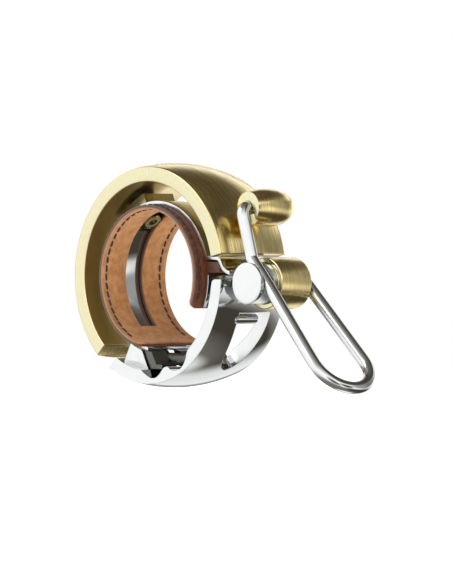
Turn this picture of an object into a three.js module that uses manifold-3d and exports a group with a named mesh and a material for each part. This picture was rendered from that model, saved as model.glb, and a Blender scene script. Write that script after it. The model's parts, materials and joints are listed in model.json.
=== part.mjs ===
// Bicycle bell: a C-shaped brass ringer round the handlebar, a leather-lined steel collar that
// grips the bar, a hinged lower bracket with its clamp screw, and a sprung striker with a wire lever.
// Millimetres, +Z up. The handlebar runs along Y, the origin is on its axis at mid-width, and the
// front of the bell faces -Y. The striker and the bracket turn on one pin, to the right of the bar.
import * as THREE from "three";
import { mergeVertices } from "three/addons/utils/BufferGeometryUtils.js";
import Module from "manifold-3d";

// ---------- driving dimensions ----------
const STEP = 3.75; // degrees between the vertices of every large arc
const GAP = 0.15; // running clearance between round pieces
const FRONT = -11; // front and back planes of the two rings
const BACK = 10.9;
const BAR_RADIUS = 15.9; // the handlebar that the liner grips, 31.8 mm across

const RINGER = { inner: 22.46, outer: 26.0, from: 11.7, to: 227.5 };
const BRACKET = { inner: 22.3, outer: 25.5, from: 234, to: 363, topZ: -0.6 };
const BRACKET_END = { innerAngle: 243, outerAngle: 236.6 }; // slanting face at its left end
const CROWN = { y: -1.67, radius: 41.14 }; // outside of both rings bulges round this plane

const LINER = { inner: BAR_RADIUS, outer: 16.35 };
const LEATHER = { inner: 16.5, outer: 17.0, from: -26, to: 260, y1: 9.6 };
const SLOT = { y0: -3.35, y1: 2.0, from: 60, to: 229 }; // long slot through both leather layers
const TAB = { x0: 16.6, x1: 21.3, z0: 0.9, z1: 3.55, inset: 0.4 }; // leather tongue under the ledge

const STRAP = { inner: 17.12, outer: 17.95, y0: -7.8, y1: 6.5, from: 17.5, to: 260 };
const STRAP_TAIL = { fromX: 25.1, y0: -4.2, y1: 3.9 }; // narrow end between the housing's sides
const JOGGLE = [ // centre line of the strap's ledge and S-bend, (x, z)
  [27.0, 0.42], [25.1, 0.85], [23.6, 1.4], [22.6, 2.15],
  [22.1, 3.0], [21.7, 3.8], [20.8, 4.3], [18.2, 4.3],
];
const HEEL = { from: -25, to: 1.5 };
const LUG = { thick: 2.4, topX: -4.8, topZ: -16.9, footX: -2.0, footZ: -22.0 };
const FORK = { y0: -3.1, y1: 1.6, aboveScrew: 2.2 }; // slot in the lug that the screw passes through
const TOE = { x0: -1.0, x1: 1.9, high: 1 };

const SEAT = { angle: 126.5, half: 15.5, inner: 18.1, outer: 21.3, y0: -5, y1: 4.5 };
const SEAT_WINDOW = { half: 13.8, y0: -3.6, y1: 2.6 }; // window in the strap under the seat
const MOUNT_Y = -0.25; // ringer screw, on the middle of the seat
const BOLT = { head: 2.3, headAt: 16.05, neckAt: 17.35, r: 1.15, end: 25, key: 1.1, keyEnd: 16.75 };
const DAMPER = { r0: 1.7, r1: 3.3, at0: 21.45, at1: 22.05 };
const BOLT_WASHER = { r0: 1.3, r1: 2.5, at0: 17.42, at1: 17.68 };
const BOLT_HOLE = { seat: 1.4, ringer: 1.5, depth: 25.2 };

const PIVOT = { x: 33.06, z: -1.5 };
const PIN = { shaft: 1.6, neck: 2.2, neckY1: 8.6, head: 4.87, headY0: -10, headY1: -9, end: 9.5 };
const CLIP = { outer: 2.1, y0: 8.8, y1: 9.3 }; // retaining ring on the pin's rear end
const HOUSING = { outer: 6.05, inner: 4.95, y0: -4.3, y1: 5.5, seatY: 4.1, seatR: 5.2 };
const RIM_OPENING = { from: 128, to: 290 }; // gap in the housing's rear rim where the rear ear swings
const CAP = { outer: 4.8, thick: 1.2 };
const BUSH = { inner: PIN.shaft + GAP, outer: 2.3, long: 1.7 };
const EAR = { outer: 4.8, thick: 1.1, frontY: -5.6, rearY: 4.3 };
const CHEEK = [ // side of each ear between its eye and the band, (x, z)
  [24.6, -6.3], [PIVOT.x, -6.3], [PIVOT.x, PIVOT.z],
  [29.46, 1.65], [25.4, BRACKET.topZ], [24.6, BRACKET.topZ],
];

const WIRE = { r: 1.5, frontY: -7.2, footY: -8.1, rearY: 7.2, loopR: 7.65 };
const BEND = [32.0, 4.25]; // where the hammer arm turns into the front leg, (x, z)
const FRONT_LEG = { dir: -48, offset: 3.0 }; // degrees, mm off the pivot
const REAR_LEG = { dir: -43.6, offset: 1.63, end: -2.6 };
const LOOP_AT = 27.6; // mm along both legs
const HAMMER = { x: 28.5, z: 16.1, y0: -5.2, y1: 8.6, face: 3.75, belly: 4.45, bellyY: 0.4 };
const HAMMER_BORE = { r: 1.65, end: 2.4 };
const HAMMER_SLOT = { half: 1.75, long: 6, deep: 1.1, lean: -16.5 }; // lets the wire turn down

const SCREW = { y: -0.75, z: -19.8, r: 1.5, head: 2.5, headX0: -8.0, headX1: -5.3, end: 12.2 };
const SCREW_KEY = { r: 1.3, deep: 1.4 };
const SCREW_WASHER = { r: 2.1, gap: 0.1, thick: 0.4 };
const NUT = { x: 9.2, r: 2.0, y0: -6, y1: 5 };
const NOTCH = { x: 2.0, half: 3.2, bottom: 24.1, topZ: -15, y1: 7 };
const NUT_WALL = [[11.2, -15], [9.2, -19], [13.2, -19.4], [14, -17.4]]; // slope right of the nut
const GROOVE = { head: SCREW.head + 0.4, shank: SCREW.r + 0.35, from: -30, step: -4.1, to: 13 };
const WEB = { inner: 19, outer: 22.6, from: 241.5, to: 262, y0: -8.3, y1: -7.1 };
const WEB_EDGE = [[-6.0, -16], [-2.7, -23.2]]; // the web ends beside the lug, parallel to it
const WINDOW = [ // tapering window in the bracket's outside, (degrees, y)
  [-18.6, -4.5], [-35, -4.1], [-46, -3.4], [-52, -2.2], [-57, 0],
  [-57, 1.2], [-52, 3.2], [-46, 4.4], [-35, 5.2], [-18.6, 6.2],
];
const BAR_PIN = { x: 23.6, z: -9.8, r: 1.25, y0: -5.6, y1: 2.4 }; // stub across the window
const SPRING = { wire: 0.4, coil: 3.55, y0: -2.5, y1: 1.8, turns: 4.5 };

// ---------- solids ----------
const wasm = await Module();
wasm.setup();

const rad = (degrees) => (degrees * Math.PI) / 180;
const polar = (r, degrees) => [r * Math.cos(rad(degrees)), r * Math.sin(rad(degrees))];

// A closed triangle mesh as a manifold solid, turned the right way out.
function solid(geometry) {
  const bare = geometry.clone();
  bare.deleteAttribute("normal");
  bare.deleteAttribute("uv");
  const merged = mergeVertices(bare, 1e-4);
  const build = (triVerts) =>
    new wasm.Manifold(
      new wasm.Mesh({ numProp: 3, vertProperties: merged.attributes.position.array, triVerts }),
    );
  const faces = new Uint32Array(merged.index.array);
  const made = build(faces);
  return made.volume() < 0 ? build(faces.slice().reverse()) : made;
}

// Points of an arc round (cx, cz), on the shared angular grid so that nested arcs stay apart.
function arc(r, from, to, [cx, cz] = [0, 0], step = STEP) {
  const sign = Math.sign(to - from);
  const angles = [from];
  const first = sign > 0 ? Math.floor(from / step + 1) : Math.ceil(from / step - 1);
  for (let n = first; sign * (to - n * step) > 1e-6; n += sign) angles.push(n * step);
  angles.push(to);
  return angles.map((a) => polar(r, a)).map(([x, z]) => [cx + x, cz + z]);
}

// An (x, z) outline given thickness from y0 to y1.
function prism(outline, y0, y1) {
  const shape = new THREE.Shape(outline.map(([x, z]) => new THREE.Vector2(x, z)));
  const made = new THREE.ExtrudeGeometry(shape, { depth: y1 - y0, bevelEnabled: false });
  return solid(made.rotateX(Math.PI / 2).translate(0, y1, 0));
}

const sector = (r0, r1, from, to, y0, y1, centre) =>
  prism([...arc(r1, from, to, centre), ...arc(r0, to, from, centre)], y0, y1);

const box = (x0, x1, y0, y1, z0, z1) =>
  prism([[x0, z0], [x1, z0], [x1, z1], [x0, z1]], y0, y1);

// A profile of (radius, y) points turned round a Y-parallel axis through (x, z).
function turned(profile, [x, z] = [0, 0], segments = 36) {
  const points = profile.map(([r, y]) => new THREE.Vector2(r, y));
  return solid(new THREE.LatheGeometry(points, segments).translate(x, 0, z));
}

const disc = (r, y0, y1, centre, segments) =>
  turned([[0, y0], [r, y0], [r, y1], [0, y1]], centre, segments);

const tubeRing = (r0, r1, y0, y1, centre, segments) =>
  turned([[r0, y0], [r1, y0], [r1, y1], [r0, y1], [r0, y0]], centre, segments);

// The same turned piece laid along another axis: x, or a radius at an angle in the XZ plane.
const alongX = (profile, y, z, segments = 24) =>
  solid(
    new THREE.LatheGeometry(profile.map(([r, x]) => new THREE.Vector2(r, x)), segments)
      .rotateZ(-Math.PI / 2)
      .translate(0, y, z),
  );
const alongRadius = (profile, angle, y, segments = 24) =>
  solid(
    new THREE.LatheGeometry(profile.map(([r, d]) => new THREE.Vector2(r, d)), segments)
      .rotateZ(-Math.PI / 2)
      .rotateY(-rad(angle))
      .translate(0, y, 0),
  );

// A round wire along a smooth path.
function wire(points, r, steps, sides = 10) {
  const path = new THREE.CatmullRomCurve3(points, false, "centripetal");
  const section = new THREE.Shape().absarc(0, 0, r, 0, 2 * Math.PI);
  const options = { steps, extrudePath: path, curveSegments: sides / 2, bevelEnabled: false };
  return solid(new THREE.ExtrudeGeometry(section, options));
}

const AXIS = [PIVOT.x, PIVOT.z];

// ---------- rings ----------
const crown = (y) => ((y - CROWN.y) ** 2 - (FRONT - CROWN.y) ** 2) / (-2 * CROWN.radius);

// A crowned ring cut to an arc.
function crownedRing(inner, outer, from, to) {
  const outside = [];
  for (let n = 0; n <= 8; n++) {
    const y = FRONT + ((BACK - FRONT) * n) / 8;
    outside.push([outer + crown(y), y]);
  }
  const profile = [[inner, FRONT], ...outside, [inner, BACK], [inner, FRONT]];
  return turned(profile, [0, 0], 360 / STEP).intersect(sector(15, 32, from, to, FRONT - 1, BACK + 1));
}

function ringer() {
  const blindHole = mounting(rodProfile(BOLT_HOLE.ringer, SEAT.inner, BOLT_HOLE.depth));
  return crownedRing(RINGER.inner, RINGER.outer, RINGER.from, RINGER.to).subtract(blindHole);
}

// Two ears that carry the bracket on the pivot pin, front and rear of the spring housing.
function ears() {
  return [EAR.frontY, EAR.rearY].map((y) =>
    prism(CHEEK, y, y + EAR.thick)
      .add(disc(EAR.outer, y, y + EAR.thick, AXIS))
      .subtract(disc(PIN.shaft + GAP, y - 1, y + EAR.thick + 1, AXIS, 24)),
  );
}

// The window's outline wrapped round the bar's axis and thickened past both faces of the wall.
function bracketWindow() {
  const shape = new THREE.Shape(WINDOW.map(([a, y]) => new THREE.Vector2(a, y)));
  const block = new THREE.ExtrudeGeometry(shape, { depth: 12, bevelEnabled: false });
  const at = block.attributes.position;
  for (let n = 0; n < at.count; n++) {
    const [x, z] = polar(20 + at.getZ(n), at.getX(n));
    at.setXYZ(n, x, at.getY(n), z);
  }
  return solid(block);
}

function bracket() {
  const inner = polar(21, BRACKET_END.innerAngle);
  const outer = polar(28, BRACKET_END.outerAngle);
  const beyondEnd = [inner, outer, [-40, outer[1]], [-40, -10], [inner[0], -10]];
  let body = crownedRing(BRACKET.inner, BRACKET.outer, BRACKET.from, BRACKET.to)
    .subtract(prism(beyondEnd, FRONT - 1, BACK + 1))
    .subtract(box(15, 35, FRONT - 1, BACK + 1, BRACKET.topZ, 10));
  for (const ear of ears()) body = body.add(ear);

  // U-shaped notches that clear the lug and seat the barrel nut.
  const uNotch = (x, half, bottomZ) => [
    [x - half, NOTCH.topZ], ...arc(half, 180, 360, [x, bottomZ + half], 15), [x + half, NOTCH.topZ],
  ];
  const nutHalf = NUT.r + 0.25;
  const nutNotch = uNotch(NUT.x, nutHalf, SCREW.z - nutHalf);
  for (const outline of [uNotch(NOTCH.x, NOTCH.half, -NOTCH.bottom), nutNotch, NUT_WALL])
    body = body.subtract(prism(outline, FRONT - 1, NOTCH.y1));

  // Key groove from the left end to the screw's head, then clearance round its shank.
  const { head, shank, from, step, to } = GROOVE;
  const groove = [[0, from], [head, from], [head, step], [shank, step], [shank, to], [0, to]];
  body = body.subtract(alongX(groove, SCREW.y, SCREW.z));

  const web = sector(WEB.inner, WEB.outer, WEB.from, WEB.to, WEB.y0, WEB.y1);
  const rightOfEdge = [...WEB_EDGE, [20, WEB_EDGE[1][1]], [20, WEB_EDGE[0][1]]];
  body = body.add(web.subtract(prism(rightOfEdge, FRONT, BACK)));

  const { x, z, r, y0, y1 } = BAR_PIN;
  const pinHole = disc(r + GAP, y0 - GAP, y1 + GAP, [x, z], 20);
  return body.subtract(bracketWindow()).subtract(pinHole);
}

// ---------- collar ----------
const slotCut = () => sector(14, 20, SLOT.from, SLOT.to, SLOT.y0, SLOT.y1);
const leatherLayer = (inner, outer) =>
  sector(inner, outer, LEATHER.from, LEATHER.to, FRONT, LEATHER.y1).subtract(slotCut());

const leather = () =>
  leatherLayer(LEATHER.inner, LEATHER.outer).add(
    box(TAB.x0, TAB.x1, STRAP.y0 + TAB.inset, STRAP.y1 - TAB.inset, TAB.z0, TAB.z1),
  );

// A bent strip of even thickness along a centre line in the XZ plane.
function strip(line, thick, y0, y1) {
  const side = (sign) =>
    line.map(([x, z], n) => {
      const [ax, az] = line[Math.max(n - 1, 0)];
      const [bx, bz] = line[Math.min(n + 1, line.length - 1)];
      const long = Math.hypot(bx - ax, bz - az);
      return [x - (sign * thick * (bz - az)) / 2 / long, z + (sign * thick * (bx - ax)) / 2 / long];
    });
  return prism([...side(-1), ...side(1).reverse()], y0, y1);
}

function strap() {
  const line = [...JOGGLE, ...arc((STRAP.inner + STRAP.outer) / 2, STRAP.from, STRAP.to)];
  const band = strip(line, STRAP.outer - STRAP.inner, STRAP.y0, STRAP.y1);
  const beside = (y0, y1) => box(STRAP_TAIL.fromX, 30, y0, y1, -3, 6);
  const { half, y0, y1 } = SEAT_WINDOW;
  return band
    .subtract(beside(FRONT, STRAP_TAIL.y0))
    .subtract(beside(STRAP_TAIL.y1, BACK))
    .subtract(sector(15, 20, SEAT.angle - half, SEAT.angle + half, y0, y1));
}

// Forked plate that hangs from the strap, square to the clamp screw.
function lug() {
  const { thick, topX, topZ, footX, footZ } = LUG;
  const plate = [[topX, topZ], [footX, footZ], [footX + thick, footZ], [topX + thick, topZ]];
  return prism(plate, STRAP.y0, STRAP.y1)
    .add(box(TOE.x0, TOE.x1, STRAP.y0, FORK.y0, footZ, footZ + TOE.high))
    .subtract(disc(STRAP.outer + 0.1, FRONT, BACK, [0, 0], 360 / STEP))
    .subtract(box(-10, 10, FORK.y0, FORK.y1, footZ - 1, SCREW.z + FORK.aboveScrew));
}

// Profiles of a plain rod and of a flat ring, from one place to another along their axis.
const rodProfile = (r, at0, at1) => [[0, at0], [r, at0], [r, at1], [0, at1]];
const ringProfile = (r0, r1, at0, at1) => [[r0, at0], [r1, at0], [r1, at1], [r0, at1], [r0, at0]];

// Everything on the ringer screw's axis, which is a radius through the middle of the seat.
const mounting = (profile) => alongRadius(profile, SEAT.angle, MOUNT_Y);

function seat() {
  const { angle, half, inner, outer, y0, y1 } = SEAT;
  return sector(inner, outer, angle - half, angle + half, y0, y1).subtract(
    mounting(rodProfile(BOLT_HOLE.seat, inner - 1, outer + 1)),
  );
}

function ringerScrew() {
  const { head, headAt, neckAt, r, end, key, keyEnd } = BOLT;
  return mounting([
    [0, keyEnd], [key, keyEnd], [key, headAt], [head, headAt],
    [head, neckAt], [r, neckAt], [r, end], [0, end],
  ]);
}

// ---------- housing, pin, lever, hammer and spring ----------
function housing() {
  const { outer, inner, y0, y1, seatY, seatR } = HOUSING;
  const bore = BUSH.outer + GAP;
  const floorY = seatY - BUSH.long;
  const body = turned(
    [[bore, floorY], [inner, floorY], [inner, y0], [outer, y0], [outer, y1], [seatR, y1],
      [seatR, seatY], [bore, seatY], [bore, floorY]],
    AXIS,
  );
  return body.subtract(sector(0.5, outer + 1, RIM_OPENING.from, RIM_OPENING.to, seatY, y1 + 1, AXIS));
}

function pivotPin() {
  const { shaft, neck, neckY1, head, headY0, headY1, end } = PIN;
  const frontShoulder = EAR.frontY - 0.1;
  const rearShoulder = HOUSING.y1 + 0.1;
  const profile = [
    [0, headY0 - 0.15], [head * 0.6, headY0 - 0.1], [head, headY0 + 0.15], [head, headY1],
    [neck, headY1], [neck, frontShoulder], [shaft, frontShoulder], [shaft, rearShoulder],
    [neck, rearShoulder], [neck, neckY1], [shaft, neckY1], [shaft, end], [0, end],
  ];
  return turned(profile, AXIS).subtract(leverWire(WIRE.r + GAP));
}

// A point of a leg, t mm along it from its foot nearest the pin's axis.
function legPoint({ dir, offset }, t, y) {
  const [dx, dz] = polar(1, dir);
  return new THREE.Vector3(PIVOT.x - dz * offset + t * dx, y, PIVOT.z + dx * offset + t * dz);
}

// The lever is one wire: hammer arm, front leg, round loop and rear leg.
function leverWire(r = WIRE.r) {
  const { frontY, footY, rearY, loopR } = WIRE;
  const lean = (BEND[0] - HAMMER.x) / (HAMMER.z - BEND[1]);
  const arm = (drop, y) => new THREE.Vector3(HAMMER.x + lean * drop, y, HAMMER.z - drop);
  const points = [arm(0, 2), arm(0, -1), arm(0, -3.5), arm(0, -4.9), arm(0.6, -6.4)];
  points.push(arm(2, frontY), arm(5, frontY), arm(8.5, frontY), arm(10.6, frontY));
  points.push(legPoint(FRONT_LEG, -4.2, frontY), legPoint(FRONT_LEG, 0, frontY));
  points.push(legPoint(FRONT_LEG, 8, -7.45), legPoint(FRONT_LEG, 17, -7.8));
  points.push(legPoint(FRONT_LEG, LOOP_AT - 3, footY));

  const first = legPoint(FRONT_LEG, LOOP_AT, footY);
  const last = legPoint(REAR_LEG, LOOP_AT, rearY);
  const middle = first.clone().add(last).multiplyScalar(0.5);
  const across = last.clone().sub(first).multiplyScalar(0.5);
  const [dx, dz] = polar(loopR, (FRONT_LEG.dir + REAR_LEG.dir) / 2);
  const deep = new THREE.Vector3(dx, 0, dz);
  for (let a = -90; a <= 90; a += 18) {
    const [depth, side] = polar(1, a);
    points.push(middle.clone().addScaledVector(across, side).addScaledVector(deep, depth));
  }
  for (const t of [LOOP_AT - 3, 17, 8, 0, REAR_LEG.end]) points.push(legPoint(REAR_LEG, t, rearY));
  return wire(points, r, 76);
}

function hammer() {
  const { x, z, y0, y1, face, belly, bellyY } = HAMMER;
  const nose = [];
  for (let a = 0; a <= 90; a += 15) {
    const along = Math.sin(rad(a)) ** 0.75;
    const r = belly * Math.sqrt(Math.max(1 - along ** 2.6, 0));
    nose.push([r, bellyY + (y1 - bellyY) * along]);
  }
  const body = turned([[0, y0], [face, y0], [belly * 0.97, -2.6], ...nose], [x, z], 30);
  const hole = disc(HAMMER_BORE.r, y0 - 1, HAMMER_BORE.end, [x, z], 20);
  const { half, long, deep, lean } = HAMMER_SLOT;
  const slot = prism([[-half, 0], [half, 0], [half, -long], [-half, -long]], y0 - 1, y0 + deep)
    .rotate([0, lean, 0])
    .translate([x, 0, z]);
  return body.subtract(hole).subtract(slot);
}

function torsionSpring() {
  const { wire: r, coil, y0, y1, turns } = SPRING;
  const points = [];
  const steps = turns * 14;
  for (let n = 0; n <= steps; n++) {
    const t = n / steps;
    const [x, z] = polar(coil, 90 + 360 * turns * t);
    points.push(new THREE.Vector3(PIVOT.x + x, y0 + (y1 - y0) * t, PIVOT.z + z));
  }
  return wire(points, r, 80, 6);
}

// ---------- clamp screw and nut ----------
function clampScrew() {
  const { y, z, r, head, headX0, headX1, end } = SCREW;
  const keyEnd = headX0 + SCREW_KEY.deep;
  const profile = [
    [0, keyEnd], [SCREW_KEY.r, keyEnd], [SCREW_KEY.r, headX0], [head, headX0],
    [head, headX1], [r, headX1], [r, end], [0, end],
  ];
  return alongX(profile, y, z);
}

function screwWasher() {
  const from = SCREW.headX1 + SCREW_WASHER.gap;
  const profile = ringProfile(SCREW.r + GAP, SCREW_WASHER.r, from, from + SCREW_WASHER.thick);
  return alongX(profile, SCREW.y, SCREW.z);
}

function clampNut() {
  const thread = alongX(rodProfile(SCREW.r + GAP, 0, 20), SCREW.y, SCREW.z);
  return disc(NUT.r, NUT.y0, NUT.y1, [NUT.x, SCREW.z], 24).subtract(thread);
}

// ---------- materials ----------
const metal = (color, roughness) => new THREE.MeshStandardMaterial({ color, roughness, metalness: 1 });
const hide = (color) => new THREE.MeshStandardMaterial({ color, roughness: 0.8, metalness: 0 });
const BRASS = metal(0xd9c58a, 0.3);
const CHROME = metal(0xdfe2e2, 0.12);
const STEEL = metal(0xb4b6b4, 0.25);
const SPRING_STEEL = metal(0x707478, 0.35);
const SUEDE = hide(0xbd8254);
const TOP_GRAIN = hide(0x6e3c22);
const NYLON = new THREE.MeshStandardMaterial({ color: 0x1d1e1f, roughness: 0.6, metalness: 0 });
const BRONZE = metal(0x9c7b45, 0.4);

const backing = () => sector(STRAP.inner, STRAP.outer, HEEL.from, HEEL.to, STRAP.y0, STRAP.y1);
const plainRing = (r0, r1, y0, y1) => tubeRing(r0, r1, y0, y1, AXIS);
const bush = (y) => plainRing(BUSH.inner, BUSH.outer, y, y + BUSH.long);
const spacer = ({ r0, r1, at0, at1 }) => mounting(ringProfile(r0, r1, at0, at1));

const PIECES = {
  ringer: [ringer(), BRASS],
  ringer_seat: [seat(), BRASS],
  ringer_damper: [spacer(DAMPER), NYLON],
  ringer_screw: [ringerScrew(), BRASS],
  ringer_washer: [spacer(BOLT_WASHER), STEEL],
  leather_outer: [leather(), TOP_GRAIN],
  leather_liner: [leatherLayer(LINER.inner, LINER.outer), SUEDE],
  collar_strap: [strap(), CHROME],
  heel_plate: [backing(), CHROME],
  clamp_lug: [lug(), STEEL],
  spring_housing: [housing(), BRASS],
  housing_cap: [plainRing(BUSH.outer + GAP, CAP.outer, HOUSING.y0, HOUSING.y0 + CAP.thick), BRASS],
  front_bush: [bush(HOUSING.y0), BRONZE],
  rear_bush: [bush(HOUSING.seatY - BUSH.long), BRONZE],
  torsion_spring: [torsionSpring(), SPRING_STEEL],
  pivot_pin: [pivotPin(), CHROME],
  pin_clip: [plainRing(PIN.shaft + GAP, CLIP.outer, CLIP.y0, CLIP.y1), CHROME],
  lever_wire: [leverWire(), CHROME],
  hammer: [hammer(), BRASS],
  bracket: [bracket(), CHROME],
  window_pin: [disc(BAR_PIN.r, BAR_PIN.y0, BAR_PIN.y1, [BAR_PIN.x, BAR_PIN.z], 20), CHROME],
  clamp_nut: [clampNut(), STEEL],
  clamp_screw: [clampScrew(), STEEL],
  screw_washer: [screwWasher(), STEEL],
};

const bell = new THREE.Group();
for (const [name, [made, material]] of Object.entries(PIECES)) {
  const { vertProperties, triVerts } = made.getMesh();
  const geometry = new THREE.BufferGeometry();
  geometry.setAttribute("position", new THREE.BufferAttribute(vertProperties, 3));
  geometry.setIndex(new THREE.BufferAttribute(triVerts, 1));
  geometry.computeVertexNormals();
  const mesh = new THREE.Mesh(geometry, material);
  mesh.name = name;
  bell.add(mesh);
}

export default bell;
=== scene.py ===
"""Bicycle bell: the looks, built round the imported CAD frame. Lengths are millimetres until a mesh is made."""
import json
import math

import bmesh
import bpy
from mathutils import Matrix, Vector


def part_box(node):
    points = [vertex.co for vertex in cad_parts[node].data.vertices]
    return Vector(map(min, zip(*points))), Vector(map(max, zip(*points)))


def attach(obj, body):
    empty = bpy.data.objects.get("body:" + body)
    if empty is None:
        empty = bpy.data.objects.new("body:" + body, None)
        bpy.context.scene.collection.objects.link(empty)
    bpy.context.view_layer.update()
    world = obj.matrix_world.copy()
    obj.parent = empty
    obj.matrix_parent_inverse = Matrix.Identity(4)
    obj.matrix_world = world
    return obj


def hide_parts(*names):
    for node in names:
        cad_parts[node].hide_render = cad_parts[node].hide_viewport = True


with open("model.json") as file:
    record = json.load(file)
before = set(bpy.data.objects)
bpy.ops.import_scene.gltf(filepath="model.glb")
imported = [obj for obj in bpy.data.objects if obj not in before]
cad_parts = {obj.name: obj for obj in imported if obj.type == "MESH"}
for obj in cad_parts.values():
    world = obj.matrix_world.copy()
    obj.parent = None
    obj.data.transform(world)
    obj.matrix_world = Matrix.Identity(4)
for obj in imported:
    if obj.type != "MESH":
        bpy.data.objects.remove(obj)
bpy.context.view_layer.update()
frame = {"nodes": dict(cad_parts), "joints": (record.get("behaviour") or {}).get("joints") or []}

MM = 0.001


def box_mm(node):
    low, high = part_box(node)
    return low / MM, high / MM


def joint(name):
    return next(j for j in frame["joints"] if j["name"] == name)


# ---------- places and sizes taken from the frame ----------
RING_LOW, RING_HIGH = box_mm("ringer")
FRONT, BACK = RING_LOW.y, RING_HIGH.y
CROWN_R = RING_HIGH.z  # ringer's greatest radius, at the crown
PIVOT = Vector(joint("striker_pivot")["pos_m"]) / MM
HAMMER_LOW, HAMMER_HIGH = box_mm("hammer")
HAMMER = (HAMMER_LOW + HAMMER_HIGH) / 2
HOUSING_LOW, HOUSING_HIGH = box_mm("spring_housing")
SCREW_LOW, SCREW_HIGH = box_mm("clamp_screw")
SCREW = (SCREW_LOW + SCREW_HIGH) / 2
NUT_LOW, NUT_HIGH = box_mm("clamp_nut")
BAR_LOW, BAR_HIGH = box_mm("window_pin")
STRAP_LOW, STRAP_HIGH = box_mm("collar_strap")
LEATHER_LOW, LEATHER_HIGH = box_mm("leather_outer")
AXIS = (PIVOT.x, PIVOT.z)  # the pin, seen along Y
PAST = 1  # how far a cutter reaches past what it cuts

# ---------- shape dimensions, mm and degrees ----------
# Outlines are (x, z), arcs are in degrees from +X round to +Z.
CROWN = {"radius": 41.14, "y": -1.67}  # the bulge of both rings, in section
RINGER = {"inner": 22.46, "outer": 26.0, "from": 11.7, "to": 227.5, "edge": 0.28}

BRACKET = {"inner": 22.3, "outer": 25.5, "from": 234.0, "to": 363.0, "top": -0.6, "corner": 1.3}
BRACKET_END = {"inner": (21, 243), "outer": (28, 236.6)}  # slanting left end, (radius, degrees)
NOTCH_FLOOR = [  # a round notch, a ridge, a shallow notch and its right wall
    (-3.4, -20.8), (-2.2, -22.1), (-0.8, -23.1), (1.2, -24.0), (3.0, -23.95), (4.4, -23.1), (5.5, -21.9),
    (6.3, -21.3), (7.2, -21.3), (8.2, -21.9), (9.8, -22.15), (11.4, -21.8), (12.6, -20.8), (13.5, -19.3),
    (13.9, -17.8), (14.6, -16.6),
]
NOTCH = {"top": -12.0, "back": 7.0}
WINDOW_FRONT = [  # front side of the window, (degrees, y) from top to foot
    (-18.6, -4.5), (-27, -4.45), (-36, -4.1), (-45, -3.4), (-51, -2.4), (-55, -1.0), (-57.0, 0.6),
]
WINDOW_REAR = [(-57.0, 0.6), (-55, 2.2), (-51, 3.5), (-45, 4.5), (-36, 5.5), (-27, 6.1), (-18.6, 6.2)]
EAR = {"eye": 4.78, "bore": 1.75, "thick": 1.1, "at": (-5.6, 4.3)}
EAR_SADDLE = [(27.6, 0.45), (26.6, -0.35), (25.2, -0.62), (24.4, -0.62)]
# room for the clamp screw in the bracket: lengths along +X from x
SCREW_GROOVE = {"x": -30.0, "head": 2.9, "step": 25.9, "shank": 1.85, "end": 43}
# a thin sheet beside the lug, y0 and y1 behind the front
WEB = {"inner": 18.2, "outer": 22.9, "from": 241.6, "to": 254.0, "edge": 41.05, "y0": 2.7, "y1": 3.9}
WEB_EDGE = (201.2, 210.8)  # degrees round the pin

LEATHER = {"inner": 15.9, "split": 16.38, "outer": 17.0, "from": -26.0, "to": 260.0, "corner": 1.5}
SLOT = {"y0": -3.35, "y1": 2.0, "from": 60.0, "to": 229.0}
GROOVE = {"half": 0.55, "deep": 0.13, "ends": 5}  # pressed in along each row of stitches
TAB = {"x0": 16.75, "x1": 21.25, "z0": 0.95, "z1": 3.5, "inset": 0.4}
STITCH = {
    "long": 1.80, "pitch": 2.1, "radius": 0.27, "front": 1.35, "back": 1.95, "slant": 0.10, "sink": 0.12,
    "from": 7, "to": 8,  # degrees kept free at the leather's two ends
}

STRAP = {"inner": 17.13, "outer": 17.94, "from": 17.5, "to": 260}
STRAP_TAIL = {"x": 25.1, "y0": -4.2, "y1": 3.9}
STRAP_WINDOW = {"half": 13.8, "y0": -3.6, "y1": 2.6}  # under the seat
JOGGLE = [(26.9, 0.45), (25.1, 0.85), (23.6, 1.4), (22.6, 2.15), (22.1, 3.0), (21.6, 3.9)]
LEDGE = [(20.9, 4.3), (19.5, 4.32), (18.0, 4.32), (17.35, 4.45), (17.0, 4.8)]
HEEL = {"from": -24.0, "to": 1.4}
LUG = {"top": (-4.8, -16.9), "foot": (-2.0, -22.0), "thick": 2.4, "clear": 18.06}
LUG_TOE = [(-1.0, -22.0), (1.9, -22.0), (1.9, -21.1), (1.6, -20.95), (-1.0, -20.95)]
LUG_FORK = {"y0": -3.1, "y1": 1.6, "above_screw": 2.2}
SEAT = {"angle": 126.5, "half": 15.4, "inner": 18.12, "outer": 21.3, "y0": -5.0, "y1": 4.5}
BOLT = {"y": -0.25, "hole": 1.4, "shank": 1.15, "end": 25, "key": 1.1, "key_end": 16.75}
BOLT_HEAD = [(1.1, 16.1), (2.05, 16.1), (2.28, 16.35), (2.28, 17.2), (2.15, 17.34)]  # (radius, distance)

HOUSING = {
    "outer": 6.05, "inner": 4.95, "bore": 2.45, "floor": 2.4, "seat_y": 4.1, "seat_r": 5.2,
    "front_edge": 0.35, "back_edge": 0.6,
}
RIM_OPENING = {"from": 128, "to": 290}  # where the rear ear swings
LID = {"outer": 4.8, "thick": 1.2, "edge": 0.12}
WIRE = {"radius": 1.5, "front": -7.2, "foot": -8.1, "rear": 7.2, "turn": 1.9, "slack": 0.01}
BEND = Vector((32.0, 0.0, 4.25))  # where the hammer arm turns into the front leg
FRONT_LEG = {"dir": -48.0, "offset": 3.0}
REAR_LEG = {"dir": -43.6, "offset": 1.63}
LOOP_AT, LOOP_R = 27.6, 7.6
BULLET = {"face": 3.75, "belly": 4.43, "belly_y": 0.4, "edge": 0.25, "bore": 1.62, "bore_end": 2.4}
BULLET_SLOT = {"half": 1.7, "long": 6, "deep": 1.1}  # lets the wire turn down
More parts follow.
